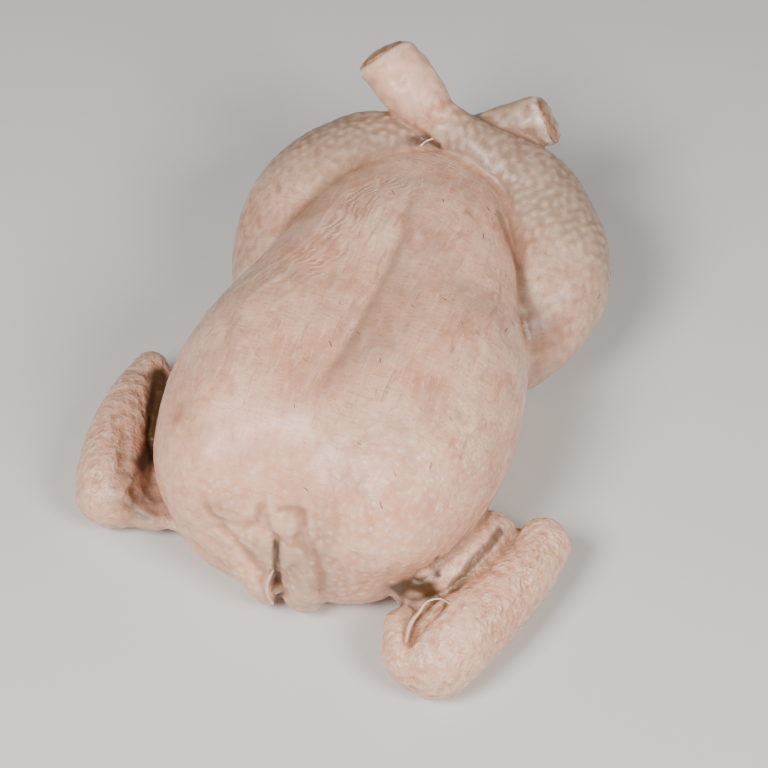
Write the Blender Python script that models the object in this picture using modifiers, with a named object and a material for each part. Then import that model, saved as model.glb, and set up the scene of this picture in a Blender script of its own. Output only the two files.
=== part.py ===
"""A whole oven-ready chicken, raw, resting on its back with its drumsticks crossed.

Sizes are in millimetres here and in metres in the scene. +Y points to the tail, +Z is up.
Flesh is a blend of rounded masses, swept limbs and thin skin webs. Their plain union is
remeshed, and its points are then settled on the blended surface.
"""
import math

import bmesh
import bpy
import numpy as np
from mathutils import Matrix, Vector

MM = 0.001
CENTRE = (0.3, 11.7)
SKIN_COLOUR = (0.80, 0.69, 0.63)
SKIN_ROUGHNESS = 0.42
VOXEL = 2.6
TRIANGLES = 9000
REACH = 20 * MM


def mass(centre, radii, yaw=0.0):
    """A rounded mass of flesh: its centre, its radii and its turn about Z in degrees."""
    return {"centre": np.array(centre) * MM, "radii": np.array(radii) * MM, "yaw": math.radians(yaw)}


# Breast halves, filler between them, belly, shoulders, back, neck skin, vent end and rump
TORSO = [
    mass((-28, -22, 55), (41.5, 80, 44.5), yaw=-7),
    mass((31, -20, 56), (46, 80, 45), yaw=7),
    mass((0, -36, 56), (38, 54, 43)),
    mass((0.5, 43, 64), (51, 65, 37.5)),
    mass((-1, -60, 38), (60, 45, 38)),
    mass((0, 5, 34), (60, 92, 38)),
    mass((-22, -78, 22), (27, 21, 24)),
    mass((16, -78, 20), (32, 17.5, 22)),
    mass((0, 84, 44), (38, 34, 36)),
    mass((0, 94, 22), (36, 26, 22)),
]

RUMP = [mass((0, 106, 19), (25, 21, 16)), mass((0, 129, 23), (15, 16, 9))]

# Limbs are swept balls: x, y, z and radius at each station, from the body outwards
LEG_RIGHT = [
    (38, 34, 32, 20), (57, 57.5, 38.5, 26), (59.3, 83.5, 49.5, 27), (41.5, 107, 66.5, 20.4), (14, 113, 80, 12.3),
    (-6.5, 115, 90.5, 10), (-18.5, 119.5, 98, 13.2), (-33.5, 126.5, 106, 13.8), (-50, 134, 114, 13.2),
]
LEG_LEFT = [
    (-36, 26, 32, 20), (-51, 45, 41, 26.5), (-49.5, 73, 57, 30), (-34, 97.5, 70.5, 22.2), (-11, 112.5, 76, 12.3),
    (10, 125, 78, 8.8), (24, 132, 81, 10.4), (36, 138, 83, 12), (46, 142, 85, 12.3),
]
HUMERUS_RIGHT = [(52, -82, 26, 13), (65, -73, 27, 11.5), (72, -60, 28, 11), (76, -50, 25, 9.5), (83, -47, 17, 7.5), (92, -45, 13, 7)]
FOREARM_RIGHT = [
    (98, -46, 22, 11.5), (95, -60, 21, 12.5), (87, -81, 20, 15), (79, -99, 19, 16.5), (74, -110, 16, 16),
]
HAND_RIGHT = [(72, -114, 14, 12), (62, -113, 16, 11), (55, -102, 20, 7.5)]
HUMERUS_LEFT = [(-46, -64, 32, 17), (-64, -48, 23, 13), (-80, -30, 17, 9), (-92, -16, 17, 8)]
FOREARM_LEFT = [
    (-97, -13, 20, 8.5), (-97.5, -28, 20, 10.8), (-95, -50, 19, 13.6), (-90, -71, 16, 15.3), (-87, -79, 15, 14.5),
]
HAND_LEFT = [(-88, -78, 14, 12), (-78, -80, 12, 9), (-66, -82, 12, 6)]

# The neck skin ends in two rolled flaps with a slit between them, swept in the same way
FLAP_LEFT = [(-31, -91, 40, 9), (-23, -96, 32, 8.8), (-14.3, -99.5, 21, 7.6), (-12, -99.5, 11, 5.8)]
FLAP_RIGHT = [(13, -91, 46, 9), (11, -94.5, 36, 10.5), (8, -97, 24, 10.6), (6.8, -96, 13, 9)]

# Skin webs in front of the wings: three corners and a thickness
WEB_RIGHT = [(50, -84, 15), (92, -50, 12), (64, -112, 13)]
WEB_LEFT = [(-52, -82, 12), (-92, -20, 11), (-86, -80, 10)]
WEB_THICKNESS = 6

# The hocks are cut straight across: a point on each cut and the way out of the leg
CUT_RIGHT = ((-39.5, 128.8, 109), (-0.72, 0.36, 0.6))
CUT_LEFT = ((41, 138.5, 84), (0.82, 0.38, 0.42))

# Folds pressed into the skin, or raised where the depth is below 0: points, half width, depth
FOLDS = [
    ([(3, 62, 103), (6, 34, 101), (7, 14, 100), (6, -5, 99), (6, -22, 100), (5, -38, 101), (3, -56, 98)], 3.4, 1.6),
    ([(11, 62, 101), (12, 34, 101), (12, 10, 101), (10, -12, 101), (8, -32, 102)], 15.0, 3.0),
    ([(-8, 50, 103), (-8, 10, 102), (-8, -24, 103)], 10.0, -1.0),
    ([(1, -102, 54), (0, -104.6, 44), (-2, -105, 35), (-3.8, -104, 27), (-4.5, -102.5, 19)], 2.5, 7.0),
    ([(0.5, -100, 47), (-1, -101, 40), (-3, -101, 32), (-4.5, -100.5, 24), (-4.5, -97, 7)], 2.5, 6.0),
    ([(-7, -97, 65), (-7, -100, 59), (-15, -103, 55), (-24, -104, 54)], 3.0, 2.0),
    ([(-24, -104, 50), (-14, -106, 42), (-6, -106, 35), (-4, -107, 28)], 3.0, 2.6),
    ([(11, -96, 65), (12, -99, 61), (9, -101, 56), (3, -102, 55)], 2.8, 1.8),
    ([(3, -99, 61), (4, -99, 61)], 5.0, -2.0),
    ([(10, -101, 56), (17, -103, 46), (22, -104, 31)], 3.2, 1.6),
    ([(49, -99, 25), (55, -102, 27), (60, -106, 27), (62, -113, 27)], 2.6, 3.5),
    ([(49, -90, 25), (54, -87, 26), (59, -83, 22)], 5.0, 3.5),
    ([(75, -57, 50), (71, -68, 43), (67, -76, 40), (62, -82, 38), (57, -86, 35), (52, -89, 30)], 2.4, 3.0),
    ([(69, -97, 32), (67, -101, 31), (65, -105, 30), (62, -110, 28)], 2.5, 3.2),
    ([(-83, -75, 27), (-86, -64, 30), (-89, -55, 32)], 2.6, 2.5),
    ([(-76, -79, 22), (-67, -81, 18), (-61, -80, 16)], 2.6, 2.0),
    ([(-20, 112, 44), (0, 118, 38), (20, 112, 44)], 3.5, 3.5),
]


def smooth_path(stations, steps):
    """A Catmull-Rom curve through the stations, in metres, with its radius in the last column."""
    pts = np.array(stations, float) * MM
    pts = np.vstack([2 * pts[0] - pts[1], pts, 2 * pts[-1] - pts[-2]])
    t = np.linspace(0, 1, steps, endpoint=False)[:, None]
    spans = [
        0.5 * (2 * b + (c - a) * t + (2 * a - 5 * b + 4 * c - d) * t**2 + (3 * b - a - 3 * c + d) * t**3)
        for a, b, c, d in zip(pts, pts[1:], pts[2:], pts[3:])
    ]
    return np.vstack([*spans, pts[-2:-1]])


def nearby(distance):
    """Works out a shape's distance only near it. Further off, the gap to its box will do."""
    def culled(p, points, *sizes):
        pts = np.array(points, float)
        room = pts[:, 3].max() if pts.shape[1] > 3 else 0.0
        low, high = (pts[:, :3].min(0) - room) * MM, (pts[:, :3].max(0) + room) * MM
        gap = np.linalg.norm(np.maximum(np.maximum(low - p, p - high), 0), axis=1)
        near = gap < REACH
        gap[near] = distance(p[near], points, *sizes)
        return gap
    return culled


def ellipsoid(p, m):
    q = p - m["centre"]
    c, s = math.cos(m["yaw"]), math.sin(m["yaw"])
    q = np.stack([q[:, 0] * c + q[:, 1] * s, q[:, 1] * c - q[:, 0] * s, q[:, 2]], axis=1)
    k0 = np.linalg.norm(q / m["radii"], axis=1)
    k1 = np.linalg.norm(q / m["radii"] ** 2, axis=1)
    return k0 * (k0 - 1.0) / np.maximum(k1, 1e-9)


def sweep(p, path):
    """Distance to balls swept along a path of x, y, z and radius."""
    d = np.full(len(p), 1.0)
    for a, b in zip(path[:-1], path[1:]):
        along = b[:3] - a[:3]
        t = np.clip((p - a[:3]) @ along / (along @ along), 0, 1)
        gap = np.linalg.norm(p - a[:3] - t[:, None] * along, axis=1)
        d = np.minimum(d, gap - a[3] - (b[3] - a[3]) * t)
    return d


@nearby
def limb(p, stations):
    return sweep(p, smooth_path(stations, 7))


@nearby
def fold_line(p, points):
    return sweep(p, np.array([(*point, 0) for point in points]) * MM)


@nearby
def web(p, corners, thickness):
    a, b, c = (np.array(v, float) * MM for v in corners)
    normal = np.cross(b - a, a - c)
    sides = ((b - a, p - a), (c - b, p - b), (a - c, p - c))
    over = sum(np.sign(q @ np.cross(edge, normal)) for edge, q in sides) < 2
    rim = [((edge * np.clip(q @ edge / (edge @ edge), 0, 1)[:, None] - q) ** 2).sum(1) for edge, q in sides]
    face = ((p - a) @ normal) ** 2 / (normal @ normal)
    return np.sqrt(np.where(over, np.min(rim, axis=0), face)) - thickness * MM / 2


def plane(p, cut):
    point, normal = (np.array(v, float) for v in cut)
    return (p - point * MM) @ (normal / np.linalg.norm(normal))


def join(a, b, k):
    """A union with a soft fillet about k millimetres wide."""
    k = k * MM
    h = np.clip(0.5 + 0.5 * (b - a) / k, 0, 1)
    return b + (a - b) * h - k * h * (1 - h)


def trim(a, b, k):
    """What two shapes share, with its edge rounded over about k millimetres."""
    return -join(-a, -b, k)


def fade(x, low, high):
    t = np.clip((x - low) / (high - low), 0, 1)
    return t * t * (3 - 2 * t)


def torso(p):
    d = ellipsoid(p, TORSO[0])
    for m in TORSO[1:]:
        d = join(d, ellipsoid(p, m), 16)
    for m in RUMP:
        d = join(d, ellipsoid(p, m), 6)
    for stations in (FLAP_LEFT, FLAP_RIGHT):
        d = join(d, limb(p, stations), 2)
    return d


def leg_right(p):
    return trim(limb(p, LEG_RIGHT), plane(p, CUT_RIGHT), 7)


def leg_left(p):
    return trim(limb(p, LEG_LEFT), plane(p, CUT_LEFT), 5)


def wing(p, humerus, forearm, hand, corners):
    d = join(limb(p, humerus), limb(p, forearm), 2.5)
    d = join(d, limb(p, hand), 3)
    return join(d, web(p, corners, WEB_THICKNESS), 4)


def wing_right(p):
    return wing(p, HUMERUS_RIGHT, FOREARM_RIGHT, HAND_RIGHT, WEB_RIGHT)


def wing_left(p):
    return wing(p, HUMERUS_LEFT, FOREARM_LEFT, HAND_LEFT, WEB_LEFT)


def folds(p):
    d = np.zeros(len(p))
    for points, width, depth in FOLDS:
        d += depth * MM * np.exp(-((fold_line(p, points) / (width * MM)) ** 1.5))
    return d


def flesh(p):
    """Signed distance to the bird's skin, in metres, below 0 inside."""
    legs = join(leg_left(p), leg_right(p), 2.5)
    d = join(torso(p), legs, 4 + 14 * fade(p[:, 2], 60 * MM, 20 * MM))
    d = join(d, wing_right(p), 3)
    d = join(d, wing_left(p), 5)
    return trim(d + folds(p), -p[:, 2], 3)


def add_mass(bm, m):
    place = Matrix.Translation(m["centre"]) @ Matrix.Rotation(m["yaw"], 4, "Z")
    bmesh.ops.create_icosphere(bm, subdivisions=4, radius=1.0, matrix=place @ Matrix.Diagonal((*m["radii"], 1)))


def add_hull(bm, balls, sphere):
    """The tight wrap around some balls, given as x, y, z and radius in metres."""
    piece = bmesh.new()
    for x, y, z, radius in balls:
        for direction in sphere:
            piece.verts.new(Vector((x, y, z)) + direction * radius)
    bmesh.ops.convex_hull(piece, input=piece.verts[:])
    bmesh.ops.delete(piece, geom=[v for v in piece.verts if not v.link_faces], context="VERTS")
    mesh = bpy.data.meshes.new("hull")
    piece.to_mesh(mesh)
    bm.from_mesh(mesh)
    piece.free()
    bpy.data.meshes.remove(mesh)


def add_limb(bm, stations, sphere, cut=None):
    path = smooth_path(stations, 3)
    if cut is not None:
        path = path[plane(path[:, :3], cut) < -path[-1, 3] * 0.2]
    for pair in zip(path[:-1], path[1:]):
        add_hull(bm, pair, sphere)


def rough_body():
    """The plain union of all masses, limbs and webs, before blending."""
    ball = bmesh.new()
    bmesh.ops.create_icosphere(ball, subdivisions=2, radius=1.0)
    sphere = [vert.co.copy() for vert in ball.verts]
    ball.free()
    bm = bmesh.new()
    for m in TORSO + RUMP:
        add_mass(bm, m)
    for stations in (
        HUMERUS_RIGHT, FOREARM_RIGHT, HAND_RIGHT, HUMERUS_LEFT, FOREARM_LEFT, HAND_LEFT, FLAP_LEFT, FLAP_RIGHT,
    ):
        add_limb(bm, stations, sphere)
    add_limb(bm, LEG_RIGHT, sphere, CUT_RIGHT)
    add_limb(bm, LEG_LEFT, sphere, CUT_LEFT)
    for corners in (WEB_RIGHT, WEB_LEFT):
        add_hull(bm, [(*(np.array(corner) * MM), WEB_THICKNESS * MM / 2) for corner in corners], sphere)
    mesh = bpy.data.meshes.new("rough body")
    bm.to_mesh(mesh)
    bm.free()
    return mesh


def settle(mesh, rounds):
    """Moves every point of the mesh on to the skin, along the steepest way there."""
    p = np.empty(len(mesh.vertices) * 3)
    mesh.vertices.foreach_get("co", p)
    p = p.reshape(-1, 3)
    step = 0.05 * MM
    for _ in range(rounds):
        d = flesh(p)
        slope = np.stack([flesh(p + step * axis) - d for axis in np.eye(3)], axis=1) / step
        size = np.maximum((slope**2).sum(1), 0.25)
        p -= slope * np.clip(d / size, -2 * MM, 2 * MM)[:, None]
    return p


def place_points(mesh, p):
    mesh.vertices.foreach_set("co", p.ravel())
    mesh.update()


def shaped(thing, kind, **settings):
    """The object's mesh after one modifier, which is then taken off."""
    modifier = thing.modifiers.new(kind.title(), kind)
    for name, value in settings.items():
        setattr(modifier, name, value)
    graph = bpy.context.evaluated_depsgraph_get()
    mesh = bpy.data.meshes.new_from_object(thing.evaluated_get(graph))
    thing.modifiers.remove(modifier)
    return mesh


def skin_material():
    material = bpy.data.materials.new("raw chicken skin")
    material.use_nodes = True
    shader = material.node_tree.nodes["Principled BSDF"]
    linear = [((c + 0.055) / 1.055) ** 2.4 for c in SKIN_COLOUR]
    shader.inputs["Base Color"].default_value = (*linear, 1.0)
    shader.inputs["Roughness"].default_value = SKIN_ROUGHNESS
    shader.inputs["Metallic"].default_value = 0.0
    return material


def main():
    for thing in list(bpy.data.objects):
        bpy.data.objects.remove(thing)
    collection = bpy.data.collections.new("whole chicken")
    bpy.context.scene.collection.children.link(collection)
    bird = bpy.data.objects.new("whole_chicken", rough_body())
    collection.objects.link(bird)

    bird.data = shaped(bird, "REMESH", mode="VOXEL", voxel_size=VOXEL * MM)
    place_points(bird.data, settle(bird.data, 8))
    bird.data = shaped(bird, "SMOOTH", factor=0.5, iterations=2)
    place_points(bird.data, settle(bird.data, 3))
    count = sum(len(face.vertices) - 2 for face in bird.data.polygons)
    bird.data = shaped(bird, "DECIMATE", ratio=TRIANGLES / count)

    points = settle(bird.data, 2)
    points[points[:, 2] < 0.4 * MM, 2] = 0.0
    points[:, :2] -= np.array(CENTRE) * MM
    place_points(bird.data, points)
    bird.data.name = "whole_chicken"
    bird.data.materials.clear()
    bird.data.materials.append(skin_material())
    bird.data.shade_smooth()


main()
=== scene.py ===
"""The looks of a raw oven-ready chicken: fine skin relief, skin materials, small pieces, light and camera."""
import math

import bmesh
import bpy
import numpy as np
from mathutils import Matrix, Vector
from mathutils.kdtree import KDTree


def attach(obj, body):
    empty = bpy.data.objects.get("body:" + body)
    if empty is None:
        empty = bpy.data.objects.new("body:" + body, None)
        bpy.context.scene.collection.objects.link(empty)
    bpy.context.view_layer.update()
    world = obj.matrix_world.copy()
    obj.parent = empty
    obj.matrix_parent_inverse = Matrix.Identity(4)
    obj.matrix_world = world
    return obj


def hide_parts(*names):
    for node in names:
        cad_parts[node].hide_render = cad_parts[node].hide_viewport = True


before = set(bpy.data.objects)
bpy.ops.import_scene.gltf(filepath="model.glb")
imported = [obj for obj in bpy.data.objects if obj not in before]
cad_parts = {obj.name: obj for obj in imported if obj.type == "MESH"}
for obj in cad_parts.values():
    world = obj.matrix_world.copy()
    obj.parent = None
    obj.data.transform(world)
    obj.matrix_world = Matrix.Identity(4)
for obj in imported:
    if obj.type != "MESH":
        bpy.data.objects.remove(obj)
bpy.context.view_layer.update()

# Sizes of the form, in millimetres, the same as the solid's own
MM = 0.001
CENTRE = (0.3, 11.7)
VOXEL = 2.75
REACH = 20 * MM


def mass(centre, radii, yaw=0.0):
    """A rounded mass of flesh: its centre, its radii and its turn about Z in degrees."""
    return {"centre": np.array(centre) * MM, "radii": np.array(radii) * MM, "yaw": math.radians(yaw)}


# Breast halves, filler between them, belly, shoulders, back, neck skin, vent end and rump
TORSO = [
    mass((-28, -22, 55), (41.5, 80, 44.5), yaw=-7),
    mass((31, -20, 56), (46, 80, 45), yaw=7),
    mass((0, -36, 56), (38, 54, 43)),
    mass((0.5, 43, 64), (51, 65, 37.5)),
    mass((-1, -60, 38), (60, 45, 38)),
    mass((0, 5, 34), (60, 92, 38)),
    mass((-22, -78, 22), (27, 21, 24)),
    mass((16, -78, 20), (32, 17.5, 22)),
    mass((0, 84, 44), (38, 34, 36)),
    mass((0, 94, 22), (36, 26, 22)),
]
RUMP = [mass((0, 106, 19), (25, 21, 16)), mass((0, 129, 23), (15, 16, 9))]

# Limbs are swept balls: x, y, z and radius at each station, from the body outwards
LEG_RIGHT = [
    (38, 34, 32, 20), (57, 57.5, 38.5, 26), (59.3, 83.5, 49.5, 27), (41.5, 107, 66.5, 20.4),
    (14, 113, 80, 12.3), (-6.5, 115, 90.5, 10), (-18.5, 119.5, 98, 13.2), (-33.5, 126.5, 106, 13.8),
    (-50, 134, 114, 13.2),
]
LEG_LEFT = [
    (-36, 26, 32, 20), (-51, 45, 41, 26.5), (-49.5, 73, 57, 30), (-34, 97.5, 70.5, 22.2),
    (-11, 112.5, 76, 12.3), (10, 125, 78, 8.8), (24, 132, 81, 10.4), (36, 138, 83, 12), (46, 142, 85, 12.3),
]
HUMERUS_RIGHT = [
    (52, -82, 26, 13), (65, -73, 27, 11.5), (72, -60, 28, 11), (76, -50, 25, 9.5), (83, -47, 17, 7.5),
    (92, -45, 13, 7),
]
FOREARM_RIGHT = [
    (98, -46, 22, 11.5), (95, -60, 21, 12.5), (87, -81, 20, 15), (79, -99, 19, 16.5), (74, -110, 16, 16),
]
HAND_RIGHT = [(72, -114, 14, 12), (62, -113, 16, 11), (55, -102, 20, 7.5)]
HUMERUS_LEFT = [(-46, -64, 32, 17), (-64, -48, 23, 13), (-80, -30, 17, 9), (-92, -16, 17, 8)]
FOREARM_LEFT = [
    (-97, -13, 20, 8.5), (-97.5, -28, 20, 10.8), (-95, -50, 19, 13.6), (-90, -71, 16, 15.3),
    (-87, -79, 15, 14.5),
]
HAND_LEFT = [(-88, -78, 14, 12), (-78, -80, 12, 9), (-66, -82, 12, 6)]

# The neck skin ends in two rolled flaps with a slit between them, swept in the same way
FLAP_LEFT = [(-31, -91, 40, 9), (-21, -96, 32, 9), (-9.3, -99.5, 21, 8.8), (-6.2, -99.5, 11, 6.4)]
FLAP_RIGHT = [(13, -91, 46, 9), (12, -94.5, 36, 10.5), (11, -97, 24, 9.8), (10, -96, 13, 9)]

# Skin webs in front of the wings: three corners and a thickness
WEB_RIGHT = [(50, -84, 15), (92, -50, 12), (64, -112, 13)]
WEB_LEFT = [(-52, -82, 12), (-92, -20, 11), (-86, -80, 10)]
WEB_THICKNESS = 6

# The hocks are cut straight across: a point on each cut and the way out of the leg
CUT_RIGHT = ((-38.6, 128.3, 108.2), (-0.72, 0.36, 0.6))
CUT_LEFT = ((40.4, 138.2, 83.7), (0.82, 0.38, 0.42))

# Folds pressed into the skin, or raised where the depth is below 0: points, half width, depth
FOLDS = [
    ([(3, 62, 103), (6, 34, 101), (7, 14, 100), (6, -5, 99), (6, -22, 100), (5, -38, 101), (3, -56, 98)],
     2.8, 1.7),
    ([(11, 62, 101), (12, 34, 101), (12, 10, 101), (10, -12, 101), (8, -32, 102)], 15.0, 3.0),
    ([(-8, 50, 103), (-8, 10, 102), (-8, -24, 103)], 10.0, -1.0),
    ([(1, -102, 54), (1.4, -104.6, 44), (1, -105, 35), (0.8, -104, 27), (0.8, -102.5, 19)], 1.4, 5.0),
    ([(0.5, -100, 47), (1, -101, 40), (1, -101, 32), (0.8, -100.5, 24), (0.8, -97, 7)], 1.4, 4.0),
    ([(-7, -97, 65), (-7, -100, 59), (-15, -103, 55), (-24, -104, 54)], 2.2, 2.4),
    ([(-24, -104, 50), (-14, -106, 42), (-6, -106, 35), (-4, -107, 28)], 2.4, 3.2),
    ([(9, -97, 65), (12, -100, 60), (11, -102, 54), (5, -103, 52)], 2.0, 2.2),
    ([(4, -100.5, 58.5), (6, -100.5, 58.5)], 4.6, -1.9),
    ([(10, -101, 56), (17, -103, 46), (22, -104, 31)], 2.6, 1.8),
    ([(49, -99, 25), (55, -102, 27), (60, -106, 27), (62, -113, 27)], 2.0, 4.5),
    ([(49, -90, 25), (54, -87, 26), (59, -83, 22)], 5.0, 3.5),
    ([(75, -57, 50), (71, -68, 43), (67, -76, 40), (62, -82, 38), (57, -86, 35), (52, -89, 30)], 2.0, 3.6),
    ([(69, -97, 32), (67, -101, 31), (65, -105, 30), (62, -110, 28)], 2.0, 3.6),
    ([(-83, -75, 27), (-86, -64, 30), (-89, -55, 32)], 2.2, 3.0),
    ([(-76, -79, 22), (-67, -81, 18), (-61, -80, 16)], 2.2, 2.4),
    ([(-20, 112, 44), (0, 118, 38), (20, 112, 44)], 3.5, 3.5),
]

# Finer creases that only the skin piece has, in the same form
CREASES = [
    ([(80, -71, 30), (84, -73, 34), (90, -74, 36)], 1.5, 1.1),
    ([(-105, -24, 27), (-99, -22, 31), (-92, -20, 29)], 1.7, 0.9),
    ([(-106, -30, 27), (-99, -29, 32), (-91, -26, 31)], 1.6, 0.8),
    ([(-106, -38, 27), (-99, -36, 32), (-91, -34, 32)], 1.8, 1.0),
    ([(-97, -50, 33), (-93, -58, 33), (-90, -66, 32)], 1.5, 0.8),
    ([(-80, -86, 22), (-72, -86, 18), (-66, -86, 14)], 1.6, 0.9),
    ([(36, -92, 46), (41, -88, 42), (48, -84, 42)], 2.6, 0.7),
    ([(16, -101, 55), (18, -102, 48), (20, -103, 38), (20, -102, 26)], 1.8, 0.9),
    ([(26, -101, 50), (30, -101, 38), (30, -99, 24)], 2.4, 0.6),
    ([(-23, -102, 54), (-13, -102, 54), (-9, -100, 58), (-8, -97, 65)], 1.6, 1.0),
    ([(-30, -101, 61), (-21, -103, 49), (-11, -105, 38), (-6, -105, 30)], 1.7, 1.1),
    ([(0, -96, 65), (5, -95, 67), (10, -95, 67), (11, -97, 63), (9, -101, 56)], 1.8, 0.8),
    ([(68, -112, 28), (73, -103, 33), (78, -93, 35)], 1.6, 0.7),
    ([(66, -108, 30), (70, -98, 34), (73, -88, 34)], 1.4, 0.6),
    ([(-9, 106, 86), (-6, 107, 92), (-1, 109, 97)], 1.8, 1.2),
    ([(70, -102, 33), (73, -107, 34)], 1.6, 0.8),
    ([(75, -103, 35), (74, -98, 35)], 1.4, 0.7),
    ([(-54, -16, 89), (-44, -2, 94), (-36, 8, 95), (-31, 22, 96), (-30, 40, 94), (-27, 52, 94),
      (-17, 60, 97)], 1.5, -0.5),
    ([(-43, -20, 97), (-31, -1, 98), (-24, 11, 98), (-20, 27, 98), (-20, 41, 98), (-14, 50, 99)], 1.3, -0.3),
    ([(-30, -24, 100), (-20, -3, 99), (-15, 9, 99)], 1.2, -0.3),
]

# Where stretched skin begins beside the left leg: x at some y. Fine wrinkles lie to its right
STRETCH = [(-12, -51), (-2, -44), (8, -36), (22, -31), (40, -30), (52, -27), (62, -17)]

# The keel's line, as x at some y, and the grey tint across it, partly painted shade on the groove's right
# slope, as strength at some gap to its right
KEEL = [(-60, 3), (-50, 3), (-38, 5), (-22, 6), (-5, 6), (14, 7), (34, 6), (54, 3), (66, 2)]
KEEL_TINT = [(-2, 0), (-0.5, 0.8), (0.5, 1), (2, 0.7), (4, 0.45), (9, 0.35), (20, 0)]

# Large follicles along the outer side of the right forearm, each a point in the same form
QUILLS = [
    (102, -59, 31), (99, -69, 32), (96, -79, 32), (95, -87, 32), (92, -94, 32), (88, -103, 32),
    (85, -110, 31),
]
QUILL_HEIGHT, QUILL_WIDTH = 0.55, 2.0

# The ridged row along the outer side of the right forearm
RIDGED = [(100, -50, 33), (98, -60, 33), (96, -73, 33), (95, -87, 32), (92, -100, 31)]

# Follicle bumps: their spacing, half width and seed, and their height in each place, in millimetres
FOLLICLE_SPACING, FOLLICLE_WIDTH, FOLLICLE_SEED = 4.1, 1.35, 3
FOLLICLE_HEIGHTS = {"all": 0.07, "goose": 0.26, "wing": 0.20, "side": 0.05, "neck": 0.26, "low": 0.14}
FULL_FOLLICLE = 0.42

# Lumps of the skin: their place, the stretch of their space, spacing, seed, number of waves and height
PLAIN = (1, 1, 1)
LUMPS = [
    ("breast", (1, 0.35, 0.6), 5, 21, 16, 0.10), ("breast", PLAIN, 45, 11, 10, 0.40),
    ("breast", PLAIN, 14, 12, 10, 0.10), ("leg", (1, 1, 0.35), 5, 22, 16, 0.12),
    ("leg", PLAIN, 24, 14, 10, 0.25), ("wing", (1, 0.6, 1), 15, 9, 10, 0.26),
    ("wing", PLAIN, 6, 10, 16, 0.16), ("neck", PLAIN, 10, 13, 10, 0.25), ("stub", PLAIN, 9, 15, 10, 0.35),
]

# Stains under the skin, and painted shade laid on the same way: a point, its radius and its strength
# Dark brown: painted shade under the right wing's arch and arm, and in the crease beside the right thigh,
# with brown staining there
BROWN_STAINS_AND_SHADE = [
    ((67, 41, 57), 8, 0.7), ((57, -82, 19), 6, 0.9), ((80, -66, 20), 6, 0.8), ((86, -54, 18), 6, 0.8),
]
# Darker grey-brown: painted shade in the hollows under both wings, on the right neck flap and beside the
# neck's slit, over thin skin
THIN_SKIN_AND_SHADE = [
    ((-78, -45, 19), 14, 0.5), ((-74, -76, 18), 13, 0.8), ((-68, -84, 17), 8, 0.5), ((88, -49, 17), 9, 0.9),
    ((78, -60, 20), 9, 0.7), ((60, -84, 18), 9, 0.6), ((54, -95, 19), 8, 0.7), ((57, -94, 27), 4, 0.8),
    ((60, -100, 25), 4, 0.6), ((14, -103, 46), 9, 0.35), ((20, -102, 34), 8, 0.3), ((-24, -101, 60), 7, 0.3),
    ((-3, -104, 44), 4.5, 0.5),
]
PINK_STAINS = [
    ((-51, -77, 81), 3.4, 0.9), ((-51, -77, 81), 8, 0.3), ((69, 38, 52), 12, 0.6), ((5, -50, 99), 9, 0.3),
]

# Lines laid on the same way, most of them painted shade in slits, creases and folds: points, half width and
# strength
# Dark brown: painted shade down the neck's slit, along the left wing's inner edge, under the right wing's
# arch and beside its arm, and in the creases by the thighs
BROWN_LINES_AND_SHADE = [
    ([(0.5, -102, 51), (1, -102, 46), (1, -103, 40), (0.5, -103, 33)], 1.5, 1.0),
    ([(0.5, -102, 31), (0, -100, 22), (-0.5, -98, 12), (-0.5, -96, 6)], 3.0, 1.0),
    ([(0, -101.5, 23), (0, -102, 17), (0, -102.5, 13), (0, -102, 8)], 2.2, 1.0),
    ([(-89, -19, 26), (-86, -28, 25), (-83.5, -36, 24), (-82, -44, 22), (-80, -54, 20)], 5.0, 1.0),
    ([(-84, -40, 17), (-80, -52, 16), (-79, -60, 21), (-79, -66, 22)], 4.5, 1.0),
    ([(49, -93, 28), (53, -91, 33), (57, -90, 33), (61, -89, 31), (63, -88, 26)], 4.0, 1.0),
    ([(71, -94, 32), (69, -101, 33), (64, -107, 29), (63, -113, 28)], 1.3, 0.9),
    ([(63, -83, 45), (63, -82, 39), (64, -84, 35)], 1.6, 1.0),
    ([(81, -54, 34.5), (79, -63, 35), (77, -69, 35), (75, -74, 34), (74, -78, 32.5), (71, -86, 30)],
     2.2, 0.8),
    ([(37, 74, 83), (44, 66, 78), (51, 59, 68), (58, 48, 63), (67, 41, 57)], 3.0, 0.55),
    ([(-13, 101, 87), (-7, 105, 87), (-2, 104, 85)], 2.4, 0.8),
]
# Darker pink: painted shade along the neck's folds, a crease on the right wing and the keel groove's lower
# half, over pinker skin there
PINK_LINES = [
    ([(-23, -102, 54), (-13, -102, 54), (-9, -100, 58), (-8, -97, 65)], 1.3, 0.7),
    ([(-30, -101, 61), (-21, -103, 49), (-11, -105, 38), (-6, -105, 30)], 1.4, 0.8),
    ([(0, -96, 65), (5, -95, 67), (10, -95, 67), (11, -97, 63), (9, -101, 56)], 1.6, 0.5),
    ([(-4, -98, 62), (-2, -100, 59), (0, -101, 57)], 1.4, 0.7),
    ([(16, -101, 55), (18, -102, 48), (20, -103, 38), (20, -102, 26)], 1.5, 0.45),
    ([(78, -75, 31), (85, -75, 34), (88, -75, 34)], 1.0, 0.6),
    ([(7, 10, 100), (6, -5, 99), (6, -22, 100), (5, -38, 101), (3, -50, 99)], 1.3, 0.45),
]


def smooth_path(stations, steps):
    """A Catmull-Rom curve through the stations, in metres, with its radius in the last column."""
    pts = np.array(stations, float) * MM
    pts = np.vstack([2 * pts[0] - pts[1], pts, 2 * pts[-1] - pts[-2]])
    t = np.linspace(0, 1, steps, endpoint=False)[:, None]
    spans = [
        0.5 * (2 * b + (c - a) * t + (2 * a - 5 * b + 4 * c - d) * t**2 + (3 * b - a - 3 * c + d) * t**3)
        for a, b, c, d in zip(pts, pts[1:], pts[2:], pts[3:])
    ]
    return np.vstack([*spans, pts[-2:-1]])


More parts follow.
